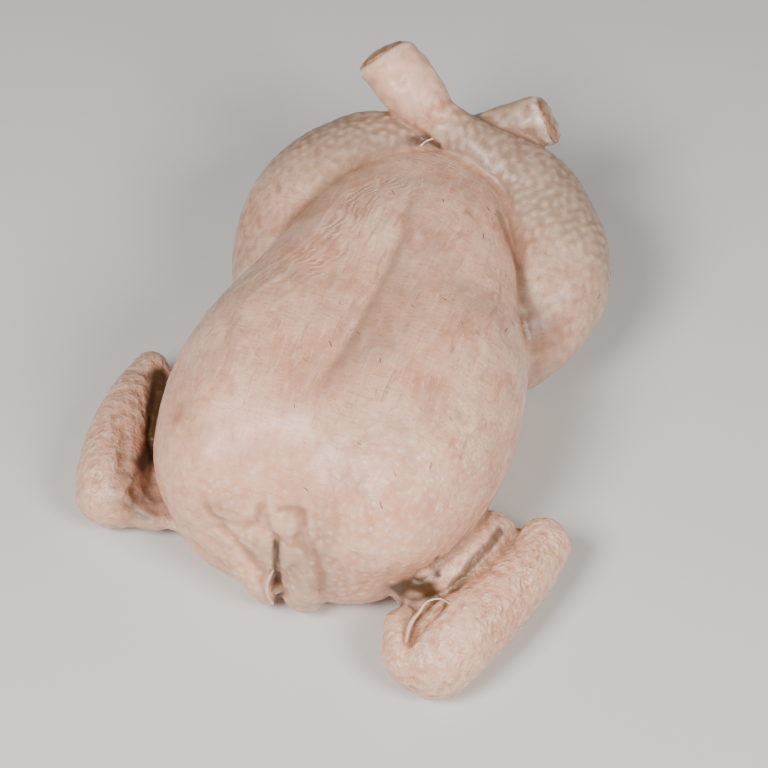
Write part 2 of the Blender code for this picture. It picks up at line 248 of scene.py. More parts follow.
def nearby(distance):
    """Works out a shape's distance only near it. Further off, the gap to its box will do."""
    def culled(p, points, *sizes):
        pts = np.array(points, float)
        room = pts[:, 3].max() if pts.shape[1] > 3 else 0.0
        low, high = (pts[:, :3].min(0) - room) * MM, (pts[:, :3].max(0) + room) * MM
        gap = np.linalg.norm(np.maximum(np.maximum(low - p, p - high), 0), axis=1)
        near = gap < REACH
        gap[near] = distance(p[near], points, *sizes)
        return gap
    return culled


def ellipsoid(p, m):
    q = p - m["centre"]
    c, s = math.cos(m["yaw"]), math.sin(m["yaw"])
    q = np.stack([q[:, 0] * c + q[:, 1] * s, q[:, 1] * c - q[:, 0] * s, q[:, 2]], axis=1)
    k0 = np.linalg.norm(q / m["radii"], axis=1)
    k1 = np.linalg.norm(q / m["radii"] ** 2, axis=1)
    return k0 * (k0 - 1.0) / np.maximum(k1, 1e-9)


def sweep(p, path):
    """Distance to balls swept along a path of x, y, z and radius."""
    d = np.full(len(p), 1.0)
    for a, b in zip(path[:-1], path[1:]):
        along = b[:3] - a[:3]
        t = np.clip((p - a[:3]) @ along / (along @ along), 0, 1)
        gap = np.linalg.norm(p - a[:3] - t[:, None] * along, axis=1)
        d = np.minimum(d, gap - a[3] - (b[3] - a[3]) * t)
    return d


@nearby
def limb(p, stations):
    return sweep(p, smooth_path(stations, 9))


@nearby
def fold_line(p, points):
    return sweep(p, np.array([(*point, 0) for point in points]) * MM)


@nearby
def web(p, corners, thickness):
    a, b, c = (np.array(v, float) * MM for v in corners)
    normal = np.cross(b - a, a - c)
    sides = ((b - a, p - a), (c - b, p - b), (a - c, p - c))
    over = sum(np.sign(q @ np.cross(edge, normal)) for edge, q in sides) < 2
    rim = [((edge * np.clip(q @ edge / (edge @ edge), 0, 1)[:, None] - q) ** 2).sum(1) for edge, q in sides]
    face = ((p - a) @ normal) ** 2 / (normal @ normal)
    return np.sqrt(np.where(over, np.min(rim, axis=0), face)) - thickness * MM / 2


def plane(p, cut):
    point, normal = (np.array(v, float) for v in cut)
    return (p - point * MM) @ (normal / np.linalg.norm(normal))


def join(a, b, k):
    """A union with a soft fillet about k millimetres wide."""
    k = k * MM
    h = np.clip(0.5 + 0.5 * (b - a) / k, 0, 1)
    return b + (a - b) * h - k * h * (1 - h)


def trim(a, b, k):
    """What two shapes share, with its edge rounded over about k millimetres."""
    return -join(-a, -b, k)


def fade(x, low, high):
    t = np.clip((x - low) / (high - low), 0, 1)
    return t * t * (3 - 2 * t)


def torso(p):
    d = ellipsoid(p, TORSO[0])
    for m in TORSO[1:]:
        d = join(d, ellipsoid(p, m), 16)
    for m in RUMP:
        d = join(d, ellipsoid(p, m), 6)
    for stations in (FLAP_LEFT, FLAP_RIGHT):
        d = join(d, limb(p, stations), 2)
    return d


def leg_right(p):
    return trim(limb(p, LEG_RIGHT), plane(p, CUT_RIGHT), 7)


def leg_left(p):
    return trim(limb(p, LEG_LEFT), plane(p, CUT_LEFT), 5)


def wing(p, humerus, forearm, hand, corners):
    d = join(limb(p, humerus), limb(p, forearm), 2.5)
    d = join(d, limb(p, hand), 3)
    return join(d, web(p, corners, WEB_THICKNESS), 4)


def wing_right(p):
    return wing(p, HUMERUS_RIGHT, FOREARM_RIGHT, HAND_RIGHT, WEB_RIGHT)


def wing_left(p):
    return wing(p, HUMERUS_LEFT, FOREARM_LEFT, HAND_LEFT, WEB_LEFT)


def pressed(p, lines):
    d = np.zeros(len(p))
    for points, width, depth in lines:
        d += depth * MM * np.exp(-((fold_line(p, points) / (width * MM)) ** 1.5))
    return d


def flesh(p):
    """Signed distance to the bird's skin, in metres, below 0 inside."""
    legs = join(leg_left(p), leg_right(p), 2.5)
    d = join(torso(p), legs, 4 + 14 * fade(p[:, 2], 60 * MM, 20 * MM))
    d = join(d, wing_right(p), 3)
    d = join(d, wing_left(p), 5)
    return trim(d + pressed(p, FOLDS), -p[:, 2], 3)


# The mesh: a rough union, remeshed, then settled on the blended skin
def add_mass(bm, m):
    place = Matrix.Translation(m["centre"]) @ Matrix.Rotation(m["yaw"], 4, "Z")
    place = place @ Matrix.Diagonal((*m["radii"], 1))
    bmesh.ops.create_icosphere(bm, subdivisions=4, radius=1.0, matrix=place)


def add_hull(bm, balls, sphere):
    """The tight wrap around some balls, given as x, y, z and radius in metres."""
    piece = bmesh.new()
    for x, y, z, radius in balls:
        for direction in sphere:
            piece.verts.new(Vector((x, y, z)) + direction * radius)
    bmesh.ops.convex_hull(piece, input=piece.verts[:])
    bmesh.ops.delete(piece, geom=[v for v in piece.verts if not v.link_faces], context="VERTS")
    mesh = bpy.data.meshes.new("hull")
    piece.to_mesh(mesh)
    bm.from_mesh(mesh)
    piece.free()
    bpy.data.meshes.remove(mesh)


def add_limb(bm, stations, sphere, cut=None):
    path = smooth_path(stations, 3)
    if cut is not None:
        path = path[plane(path[:, :3], cut) < -path[-1, 3] * 0.2]
    for pair in zip(path[:-1], path[1:]):
        add_hull(bm, pair, sphere)


def rough_body():
    """The plain union of all masses, limbs and webs, before blending."""
    ball = bmesh.new()
    bmesh.ops.create_icosphere(ball, subdivisions=2, radius=1.0)
    sphere = [vert.co.copy() for vert in ball.verts]
    ball.free()
    bm = bmesh.new()
    for m in TORSO + RUMP:
        add_mass(bm, m)
    for stations in (
        HUMERUS_RIGHT, FOREARM_RIGHT, HAND_RIGHT,
        HUMERUS_LEFT, FOREARM_LEFT, HAND_LEFT,
        FLAP_LEFT, FLAP_RIGHT,
    ):
        add_limb(bm, stations, sphere)
    add_limb(bm, LEG_RIGHT, sphere, CUT_RIGHT)
    add_limb(bm, LEG_LEFT, sphere, CUT_LEFT)
    for corners in (WEB_RIGHT, WEB_LEFT):
        add_hull(bm, [(*(np.array(corner) * MM), WEB_THICKNESS * MM / 2) for corner in corners], sphere)
    mesh = bpy.data.meshes.new("rough body")
    bm.to_mesh(mesh)
    bm.free()
    return mesh


def points_of(mesh, name="co"):
    values = np.empty(len(mesh.vertices) * 3)
    mesh.vertices.foreach_get(name, values)
    return values.reshape(-1, 3)


def place_points(mesh, p):
    mesh.vertices.foreach_set("co", p.ravel())
    mesh.update()


def settle(mesh, rounds):
    """Moves every point of the mesh on to the skin, along the steepest way there."""
    p = points_of(mesh)
    step = 0.05 * MM
    for _ in range(rounds):
        d = flesh(p)
        slope = np.stack([flesh(p + step * axis) - d for axis in np.eye(3)], axis=1) / step
        size = np.maximum((slope**2).sum(1), 0.25)
        p -= slope * np.clip(d / size, -2 * MM, 2 * MM)[:, None]
    place_points(mesh, p)


def shaped(thing, kind, **settings):
    """The object's mesh after one modifier, which is then taken off."""
    modifier = thing.modifiers.new(kind.title(), kind)
    for name, value in settings.items():
        setattr(modifier, name, value)
    graph = bpy.context.evaluated_depsgraph_get()
    mesh = bpy.data.meshes.new_from_object(thing.evaluated_get(graph))
    thing.modifiers.remove(modifier)
    return mesh


def skin_body():
    bird = bpy.data.objects.new("skin", rough_body())
    bpy.context.scene.collection.objects.link(bird)
    bird.data = shaped(bird, "REMESH", mode="VOXEL", voxel_size=VOXEL * MM)
    settle(bird.data, 8)
    bird.data = shaped(bird, "SMOOTH", factor=0.5, iterations=2)
    settle(bird.data, 2)
    bird.data = shaped(bird, "SUBSURF", levels=1)
    settle(bird.data, 2)
    return bird


# Fine relief, as heights along the skin's normal
def ripple(p, size, seed, waves=10):
    """Smooth uneven heights from about -1 to 1, with lumps about size millimetres apart."""
    draw = np.random.default_rng(seed)
    way = draw.normal(size=(waves, 3))
    way *= (draw.uniform(0.7, 1.4, waves) / np.linalg.norm(way, axis=1))[:, None]
    phase = draw.uniform(0, 2 * math.pi, waves)
    return np.sin(p @ way.T * 2 * math.pi / (size * MM) + phase).sum(1) / math.sqrt(waves)


def scattered(p, pick, spacing, seed):
    """Indices of picked points that keep at least the spacing in millimetres from one another."""
    order = np.flatnonzero(pick)
    np.random.default_rng(seed).shuffle(order)
    cell = spacing * MM
    kept, cells = [], {}
    for i in order:
        key = tuple((p[i] // cell).astype(int))
        near = (
            j
            for dx in (-1, 0, 1) for dy in (-1, 0, 1) for dz in (-1, 0, 1)
            for j in cells.get((key[0] + dx, key[1] + dy, key[2] + dz), ())
        )
        if all(((p[i] - p[j]) ** 2).sum() > cell**2 for j in near):
            cells.setdefault(key, []).append(i)
            kept.append(i)
    return np.array(kept)


def bump_field(p, centres, width):
    """Round bumps of height 1 and the given half width at the centres."""
    tree = KDTree(len(centres))
    for i, centre in enumerate(p[centres]):
        tree.insert(centre, i)
    tree.balance()
    gap = np.array([tree.find(point)[2] for point in p])
    return np.exp(-((gap / (width * MM)) ** 2))


def smoothed(p, edges, rounds):
    """Points averaged with their neighbours."""
    a, b = edges.T
    count = np.bincount(edges.ravel(), minlength=len(p))[:, None]
    for _ in range(rounds):
        near = [np.bincount(a, p[b, i], len(p)) + np.bincount(b, p[a, i], len(p)) for i in range(3)]
        p = 0.5 * p + 0.5 * np.stack(near, axis=1) / count
    return p


def soft_spots(p, stains_and_shade):
    """Soft uneven spots of stain and painted shade, added up."""
    strength = np.zeros(len(p))
    for point, radius, amount in stains_and_shade:
        gap = np.linalg.norm(p - np.array(point) * MM, axis=1) / (radius * MM)
        strength += amount * np.exp(-((gap * (1 + 0.25 * ripple(p, 7, 31))) ** 2))
    return np.clip(strength, 0, 1)


def lined(p, lines):
    """The strongest of some lines at each point."""
    return np.max(
        [amount * fade(fold_line(p, line) / (width * MM), 1.5, 0.5) for line, width, amount in lines], axis=0
    )


def within(value, start, end):
    """From 0 to 1 as a measure in metres goes from a start to an end, both in millimetres."""
    return fade(value, start * MM, end * MM)


def places(p):
    """How much each point belongs to each part of the bird, from 0 to 1."""
    x, y, z = p.T
    to_torso, to_left, to_right = torso(p), leg_left(p), leg_right(p)
    to_leg = np.minimum(to_left, to_right)
    to_wing = np.minimum(wing_right(p), wing_left(p))
    leg = within(to_torso - to_leg, -1, 4)
    wing = within(np.minimum(to_torso, to_leg) - to_wing, -1, 4)
    breast = (1 - leg) * (1 - wing)
    right_leg = leg * (to_right < to_left)
    left_leg = leg - right_leg
    right_stub = within(plane(p, CUT_RIGHT), -34, -22) * right_leg
    stub = np.maximum(right_stub, within(plane(p, CUT_LEFT), -30, -20) * left_leg)
    return {
        "leg": leg,
        "right_leg": right_leg,
        "left_leg": left_leg,
        "wing": wing,
        "breast": breast,
        "side": within(abs(x - 1 * MM), 38, 66) * breast,
        "neck": within(y, -88, -100) * breast,
        "low": within(y, -30, -75) * within(x, 5, 35) * breast,
        "stub": stub,
        "right_stub": right_stub,
        "goose": leg * (1 - 0.8 * stub) * within(y, 45, 95) * fade(ripple(p, 34, 2), -1.0, 0.6),
        "all": np.ones(len(p)),
    }


def stretch_bands(p, on):
    """Where stretched skin is wrinkled, and how far across the wrinkles each point lies, in millimetres."""
    x, y, z = p.T
    edge_y, edge_x = np.array(STRETCH, float).T
    run_left = (x / MM - np.interp(y / MM, edge_y, edge_x)) * 0.75
    run_right = leg_right(p) / MM
    beside_left = fade(run_left, 0, 3) * fade(run_left, 26, 8) * within(y, -14, 6) * within(y, 72, 60)
    beside_right = fade(run_right, 1, 5) * fade(run_right, 30, 14) * within(y, 5, 40)
    return {
        "run_left": run_left,
        "band_left": beside_left * on["breast"] * within(z, 75, 85),
        "run_right": run_right,
        "band_right": beside_right * on["breast"],
        "band_wing": np.exp(-((fold_line(p, RIDGED) / (5.5 * MM)) ** 2)) * on["wing"],
    }


def painted_shades(p, on):
    """Painted shade on the legs, most towards their rear, on the right neck flap and at the breast's rear
    left, and a grey tint on the keel groove's right slope that is partly painted shade and partly greyer
    skin.
    """
    x, y, z = p.T
    keel_y, keel_x = np.array(KEEL, float).T
    gaps, tints = np.array(KEEL_TINT, float).T
    keel = np.interp(x / MM - np.interp(y / MM, keel_y, keel_x), gaps, tints)
    keel *= within(y, 72, 40) * within(y, -62, -40) * within(z, 85, 92)
    hock = within(plane(p, CUT_RIGHT), -50, -32) * on["right_leg"]
    painted_shade = on["leg"] * (1 - hock) * (0.4 + 0.6 * within(y, 55, 95))
    painted_shade += 0.45 * on["neck"] * within(x, -1, 4) * within(x, 30, 22)
    painted_shade += 0.55 * on["breast"] * within(y, 10, 50) * within(x, -22, -45)
    return {"keel": keel * on["breast"], "painted_shade": painted_shade}


def stains_and_shade(p, on):
    """Stains, painted shade, tints and cut ends, which lie on the finished skin."""
    x, y, z = p.T
    # Dark brown and darker grey-brown: stains and painted shade together
    brown_and_shade = np.maximum(soft_spots(p, BROWN_STAINS_AND_SHADE), lined(p, BROWN_LINES_AND_SHADE))
    thin = soft_spots(p, THIN_SKIN_AND_SHADE)
    past_cut = np.where(on["right_leg"] > on["left_leg"], plane(p, CUT_RIGHT), plane(p, CUT_LEFT))
    return {
        "brown_and_shade": brown_and_shade,
        "thin": thin,
        "pink": np.maximum(soft_spots(p, PINK_STAINS), lined(p, PINK_LINES)),
        "wing": on["wing"] * (1 - brown_and_shade) * (1 - 0.7 * thin),
        "stub": on["right_stub"],
        "warm": np.clip(within(y, -45, -95) * on["breast"] + 0.8 * on["wing"] + 0.8 * on["stub"], 0, 1),
        "dotted": np.clip(on["neck"] + 0.8 * on["low"] + 0.5 * on["side"] + 0.7 * on["wing"], 0, 1),
        "run_wing": (0.94 * x + 0.34 * y) / MM,
        "cut": within(past_cut, -2.2, -1.0) * on["leg"],
        "rim": within(past_cut, -5.5, -3.0) * on["leg"],
    }


def relieve(mesh):
    """Adds the fine relief, and keeps what the skin material and the pinfeathers need as attributes."""
    p, normal = points_of(mesh), points_of(mesh, "normal")
    on = places(p)
    off_floor = within(p[:, 2], 1, 6)
    strength = sum(height * on[place] for place, height in FOLLICLE_HEIGHTS.items())
    centres = scattered(p, p[:, 2] > 1 * MM, FOLLICLE_SPACING, FOLLICLE_SEED)
    follicle = bump_field(p, centres, FOLLICLE_WIDTH)
    height = strength * follicle * (0.7 + 0.4 * ripple(p, 14, 4))
    for quill in QUILLS:
        gap = np.linalg.norm(p - np.array(quill) * MM, axis=1)
        height += QUILL_HEIGHT * np.exp(-((gap / (QUILL_WIDTH * MM)) ** 2))
    for place, stretch, spacing, seed, waves, most in LUMPS:
        height += most * on[place] * ripple(p * np.array(stretch), spacing, seed, waves)
    height -= pressed(p, CREASES) / MM
    fields = {**stretch_bands(p, on), **painted_shades(p, on)}

    p = p + normal * (height * off_floor * MM)[:, None]
    p[p[:, 2] < 0.3 * MM, 2] = 0.0
    edges = np.empty(len(mesh.edges) * 2, dtype=int)
    mesh.edges.foreach_get("vertices", edges)
    edges = edges.reshape(-1, 2)
    narrow = ((p - smoothed(p, edges, 8)) * normal).sum(1) / MM
    wide = ((p - smoothed(p, edges, 60)) * normal).sum(1) / MM
    place_points(mesh, p)
    speckled = on["breast"] * within(p[:, 2], 60, 85) * within(p[:, 0], -35, 5)
    fields |= stains_and_shade(p, on) | {
        # Painted highlight on the tops of the follicle bumps
        "follicle": follicle * np.clip(strength / FULL_FOLLICLE, 0, 1),
        # Painted shade in narrow and wide hollows, and painted highlight on narrow ridges, from how far each
        # point lies below or above its smoothed neighbours
        "hollow_shade": np.clip(-narrow / 0.35, 0, 1) * 0.4 + np.clip((-wide - 0.15) / 1.2, 0, 1) * 0.6,
        "ridge_highlight": np.clip(narrow / 0.2, 0, 1),
        "marks": 0.8 * speckled + 0.05 * off_floor,
    }
    for name, values in fields.items():
        attribute = mesh.attributes.new(name, "FLOAT", "POINT")
        attribute.data.foreach_set("value", values.astype(np.float32))


# Materials

# Clouds of noise in the skin: the space they lie in, the size of their grains in millimetres, detail,
# roughness and distortion. The broad ones are fat and blood under the skin, the fine ones its own fibres
SKIN_CLOUDS = {
    "broad": ("plain", 45.5, 2, 0.55, 0.0),
    "blotches": ("plain", 21.7, 4, 0.6, 0.6),
    "veils": ("plain", 33.3, 3, 0.5, 0.4),
    "fibre": ("across", 1.61, 4, 0.65, 0.4),
    "pale": ("along", 2.38, 3, 0.6, 0.6),
    "fleck": ("along", 5.26, 3, 0.7, 0.9),
    "grit": ("plain", 1.05, 2, 0.6, 0.0),
    "veined": ("plain", 26.3, 2, 0.55, 0.0),
    "swerve": ("plain", 14.3, 3, 0.6, 0.0),
    "broken": ("plain", 7.69, 2, 0.55, 0.0),
    "crumple": ("plain", 3.33, 2, 0.5, 0.3),
    "patches": ("plain", 5.26, 3, 0.55, 0.0),
    "grain": ("plain", 0.667, 1, 0.55, 0.0),
    "wet": ("plain", 11.1, 2, 0.55, 0.0),
}

# Cells in the skin: their space, size in millimetres, randomness and what is measured in them
SKIN_CELLS = {
    "cracks": ("veins", 16.1, 1.0, "DISTANCE_TO_EDGE"),
    "bumps": ("plain", 4.0, 0.8, "F1"),
    "specks": ("plain", 8.33, 1.0, "F1"),
}

# What relieve() leaves on the skin for its material
SKIN_FIELDS = (
    "warm", "keel", "painted_shade", "dotted", "wing", "stub", "follicle", "ridge_highlight", "hollow_shade", "thin", "brown_and_shade",
    "pink", "rim", "cut", "run_left", "band_left", "run_right", "band_right", "run_wing", "band_wing",
)

# Colour layers from the bottom up: what they follow, each with its start and full value, the most that
# they cover, and their colour
SKIN_BASE = "f1c4a8"
SKIN_LAYERS = [
    ([("broad", 0.36, 0.64)], 1.0, "e2a887"),
    ([("blotches", 0.46, 0.66)], 0.8, "d08a70"),
    ([("veils", 0.48, 0.68)], 0.75, "b5937a"),
    ([("fibre", 0.47, 0.70)], 0.5, "b98468"),
    ([("pale", 0.52, 0.72)], 0.6, "f5cfb3"),
    ([("fleck", 0.57, 0.72)], 0.8, "b57c66"),
    ([("grit", 0.58, 0.70)], 0.5, "a8705a"),
    ([("cracks", 0.035, 0.0), ("veined", 0.50, 0.62)], 0.45, "b07a64"),
    # Painted highlight on the wrinkles' crests, then painted shade in their troughs
    ([("waves", 0.0, 1.0)], 0.4, "fadfc8"),
    ([("waves", 0.0, -1.0)], 0.45, "b07a64"),
    # Painted highlight on the wing's crumpled tops, then painted shade in its dips
    ([("crumple", 0.54, 0.66), ("wing", 0.0, 1.0)], 0.45, "ffe6d2"),
    ([("crumple", 0.44, 0.32), ("wing", 0.0, 1.0)], 0.45, "b07c64"),
    ([("warm", 0.0, 1.0)], 0.45, "eaa482"),
    # Grey on the keel groove's right slope: greyer skin and painted shade
    ([("keel", 0.0, 1.0)], 0.8, "a07c68"),
    # Painted shade on the legs, the right neck flap and the breast's rear left
    ([("painted_shade", 0.0, 1.0)], 0.85, "8c715e"),
    # Painted highlight on the tops of the small bumps
    ([("dots", 0.0, 1.0)], 0.55, "fbdcc4"),
    ([("specks", 0.07, 0.03)], 0.55, "a06a56"),
    # Painted highlight on follicle bumps
    ([("follicle", 0.0, 1.0)], 0.3, "f3cfb4"),
    # Painted highlight on narrow ridges
    ([("ridge_highlight", 0.0, 1.0)], 0.3, "f5d5bc"),
    # Painted shade in hollows
    ([("hollow_shade", 0.0, 1.0)], 0.6, "936a50"),
    # Painted shade under the wings and on the neck, over thin skin
    ([("thin", 0.0, 1.0)], 0.75, "7c6455"),
    # Painted shade in slits, creases and hollows, with brown stains
    ([("brown_and_shade", 0.0, 1.0)], 1.0, "4e341a"),
    # Pink stains, and darker pink painted shade along creases
    ([("pink", 0.0, 1.0)], 0.7, "a26a50"),
    ([("stub", 0.0, 1.0)], 0.35, "f2c6a8"),
    ([("rim", 0.0, 1.0), ("patches", 0.38, 0.60)], 1.0, "f6dcc6"),
]

# Heights of the relief that only the material has, in millimetres
SKIN_RELIEF = [
    ("grain", 0.08), ("fibre", 0.22), ("pale", 0.12), ("dots", 0.3), ("rumple", 1.5),
    ("wave_left", 0.11), ("wave_right", 0.10), ("wave_wing", 0.25),
]

# Wrinkles of stretched skin: how many millimetres apart they run, and how much they show in the colour, as
# painted highlight on their crests and painted shade in their troughs
WRINKLES = {"left": (2.4, 1.0), "right": (2.8, 0.5), "wing": (2.8, 1.0)}


def linear(hex_colour):
    """A linear colour with alpha from an sRGB hex colour."""
    parts = [int(hex_colour[i:i + 2], 16) / 255 for i in (0, 2, 4)]
    return (*(c / 12.92 if c <= 0.04045 else ((c + 0.055) / 1.055) ** 2.4 for c in parts), 1.0)


def add(tree, kind, sockets=None, **settings):
    """Adds a node. Each socket's value is a constant, or another node's output that is linked to it."""
    node = tree.nodes.new(kind)
    for name, value in settings.items():
        setattr(node, name, value)
    for name, value in (sockets or {}).items():
        if isinstance(value, bpy.types.NodeSocket):
            tree.links.new(value, node.inputs[name])
        else:
            node.inputs[name].default_value = value
    return node


def patterned(tree, spaces, clouds, cells):
    """The strength of each pattern in a table of clouds and a table of cells."""
    values = {}
    for name, (space, size, detail, roughness, distortion) in clouds.items():
        sockets = {"Detail": detail, "Roughness": roughness, "Distortion": distortion}
        sockets |= {"Vector": spaces[space], "Scale": 1 / (size * MM)}
        values[name] = add(tree, "ShaderNodeTexNoise", sockets).outputs["Fac"]
    for name, (space, size, randomness, feature) in cells.items():
        sockets = {"Vector": spaces[space], "Scale": 1 / (size * MM), "Randomness": randomness}
        values[name] = add(tree, "ShaderNodeTexVoronoi", sockets, feature=feature).outputs["Distance"]
    return values


def overlap(tree, values, ramps, most=1.0):
    """Up to the most where every named value has gone from its start to its full value, else less."""
    strength = most
    for name, start, full in ramps:
        ramp = {"Value": values[name], "From Min": start, "From Max": full, "To Max": strength}
        strength = add(tree, "ShaderNodeMapRange", ramp).outputs["Result"]
    return strength


def painted(tree, values, base, layers):
    """A base colour under layers of other colours. Sockets 6 and 7 of a Mix node are its two colours."""
    colour = linear(base)
    for ramps, most, paint in layers:
        sockets = {0: overlap(tree, values, ramps, most), 6: colour, 7: linear(paint)}
        colour = add(tree, "ShaderNodeMix", sockets, data_type="RGBA").outputs[2]
    return colour


def summed(tree, values, parts):
    """The sum of some named values, each times its own factor."""
    result = 0.0
    for name, factor in parts:
        sockets = {0: values[name], 1: factor, 2: result}
        result = add(tree, "ShaderNodeMath", sockets, operation="MULTIPLY_ADD").outputs[0]
    return result


def stretched(tree, where, turn, scale, bend=0.0):
    """A space turned about Z and scaled, so that patterns lie in streaks, and bent by some metres."""
    if bend:
        swirl = add(tree, "ShaderNodeTexNoise", {"Vector": where, "Scale": 1 / (16.7 * MM)}).outputs["Color"]
        shift = add(tree, "ShaderNodeVectorMath", {0: swirl, "Scale": bend}, operation="SCALE").outputs[0]
        where = add(tree, "ShaderNodeVectorMath", {0: where, 1: shift}, operation="ADD").outputs[0]
    sockets = {"Vector": where, "Rotation": (0.0, 0.0, turn), "Scale": scale}
    return add(tree, "ShaderNodeMapping", sockets).outputs[0]


def wrinkle_waves(tree, values):
    """Waves from -1 to 1 across each band of stretched skin, bent and broken by noise."""
    bend = overlap(tree, values, [("swerve", 0.3, 0.7)], 11.0)
    for side, (spacing, _) in WRINKLES.items():
        run = {0: values["run_" + side], 1: 2 * math.pi / spacing, 2: bend}
        phase = add(tree, "ShaderNodeMath", run, operation="MULTIPLY_ADD").outputs[0]
        wave = add(tree, "ShaderNodeMath", {0: phase}, operation="SINE").outputs[0]
        kept = overlap(tree, values, [("band_" + side, 0.0, 1.0), ("broken", 0.42, 0.58)])
        wave = add(tree, "ShaderNodeMath", {0: wave, 1: kept}, operation="MULTIPLY").outputs[0]
        values["wave_" + side] = wave
    values["waves"] = summed(tree, values, [("wave_" + side, shown) for side, (_, shown) in WRINKLES.items()])


def skin_material():
    """Raw plucked chicken skin, chilled and moist. Light sinks into it, so its edges are soft and warm.
    Its colour is mottled cream, pink and grey over fat and flesh, with painted shade in its hollows, creases
    and slits, under the wings and on the legs, and painted highlights on ridges, wrinkle crests and bumps. It
    shines in small broken patches."""
    material = bpy.data.materials.new("raw_skin")
    material.use_nodes = True
    tree = material.node_tree
    shader = tree.nodes["Principled BSDF"]
    where = add(tree, "ShaderNodeTexCoord").outputs["Object"]
    spaces = {
        "plain": where,
        "across": stretched(tree, where, 0.25, (0.24, 1.0, 0.8)),
        "along": stretched(tree, where, 0.5, (1.0, 0.2, 0.6)),
        "veins": stretched(tree, where, 0.4, (0.6, 1.0, 1.0), 0.012),
    }
    values = patterned(tree, spaces, SKIN_CLOUDS, SKIN_CELLS)
    for name in SKIN_FIELDS:
        values[name] = add(tree, "ShaderNodeAttribute", attribute_name=name).outputs["Fac"]
    # Small bumps, also lighter at their tops as a painted highlight
    dots = [("bumps", 0.42, 0.12), ("crumple", 0.38, 0.56), ("dotted", 0.0, 1.0)]
    values["dots"] = overlap(tree, values, dots)
    values["rumple"] = overlap(tree, values, [("crumple", 0.0, 1.0), ("wing", 0.0, 1.0)])
    wrinkle_waves(tree, values)

    colour = painted(tree, values, SKIN_BASE, SKIN_LAYERS)
    flesh_colour = painted(tree, values, "8a6148", [([("patches", 0.38, 0.60)], 1.0, "c59a80")])
    ends = {0: values["cut"], 6: colour, 7: flesh_colour}
    colour = add(tree, "ShaderNodeMix", ends, data_type="RGBA").outputs[2]
    tree.links.new(colour, shader.inputs["Base Color"])

    relief = summed(tree, values, SKIN_RELIEF)
    bump = add(tree, "ShaderNodeBump", {"Height": relief, "Strength": 1.0, "Distance": MM})
    tree.links.new(bump.outputs[0], shader.inputs["Normal"])
    damp = {"Value": values["wet"], "From Min": 0.35, "From Max": 0.65, "To Min": 0.34, "To Max": 0.56}
    roughness = add(tree, "ShaderNodeMapRange", damp).outputs["Result"]
    moist = add(tree, "ShaderNodeMath", {0: values["wing"], 1: -0.16, 2: roughness}, operation="MULTIPLY_ADD")
    tree.links.new(moist.outputs[0], shader.inputs["Roughness"])
    for name, value in {
        "Subsurface Weight": 0.18, "Subsurface Radius": (1.0, 0.5, 0.35), "Subsurface Scale": 3 * MM,
        "Specular IOR Level": 0.5, "Coat Weight": 0.16, "Coat Roughness": 0.2,
    }.items():
        shader.inputs[name].default_value = value
    return material


# Floor, light and camera
def plain_material(name, colour, roughness):
    material = bpy.data.materials.new(name)
    material.use_nodes = True
    shader = material.node_tree.nodes["Principled BSDF"]
    shader.inputs["Base Color"].default_value = linear(colour)
    shader.inputs["Roughness"].default_value = roughness
    return material


# Soft lights: name, place, size in metres and power in watts
LIGHTS = [
    ("key", (-0.28, -0.77, 0.97), 0.45, 17.6),
    ("side", (0.84, -0.42, 0.86), 0.45, 12.4),
    ("back", (0.95, 0.45, 0.6), 0.6, 1),
]
LIT_POINT = (0, 0, 0.04)

# The photograph's view: degrees to the bird's right and down, distance, and the lens for a 36 mm sensor,
# from a focal length of 2185 pixels in a frame 768 pixels wide
AZIMUTH, ELEVATION, DISTANCE = 20, 50, 0.95
SENSOR = 36
LENS = 2185 / 768 * SENSOR
AIM = (0.0097, -0.0117, 0.04)


def add_light(name, place, size, power):
    light = bpy.data.lights.new(name, "AREA")
    light.size, light.energy = size, power
    thing = bpy.data.objects.new(name, light)
    bpy.context.scene.collection.objects.link(thing)
    thing.location = place
    thing.rotation_euler = (Vector(LIT_POINT) - thing.location).to_track_quat("-Z", "Y").to_euler()


def add_camera():
    camera = bpy.data.cameras.new("camera")
    camera.lens, camera.sensor_width = LENS, SENSOR
    camera.clip_start = 0.01
    thing = bpy.data.objects.new("camera", camera)
    bpy.context.scene.collection.objects.link(thing)
    a, e = math.radians(AZIMUTH), math.radians(ELEVATION)
    back = Vector((math.sin(a) * math.cos(e), -math.cos(a) * math.cos(e), math.sin(e)))
    thing.location = Vector(AIM) + back * DISTANCE
    thing.rotation_euler = (-back).to_track_quat("-Z", "Y").to_euler()
    bpy.context.scene.camera = thing


def set_stage():
    bpy.ops.mesh.primitive_plane_add(size=6, location=(0, 0, -0.0004))
    floor = bpy.context.object
    floor.name = "floor"
    floor.data.materials.append(plain_material("floor", "d8d5d0", 0.8))
    world = bpy.data.worlds.new("studio")
    bpy.context.scene.world = world
    world.use_nodes = True
    world.node_tree.nodes["Background"].inputs["Color"].default_value = linear("d8d2cc")
    world.node_tree.nodes["Background"].inputs["Strength"].default_value = 0.10
    for light in LIGHTS:
        add_light(*light)
    add_camera()


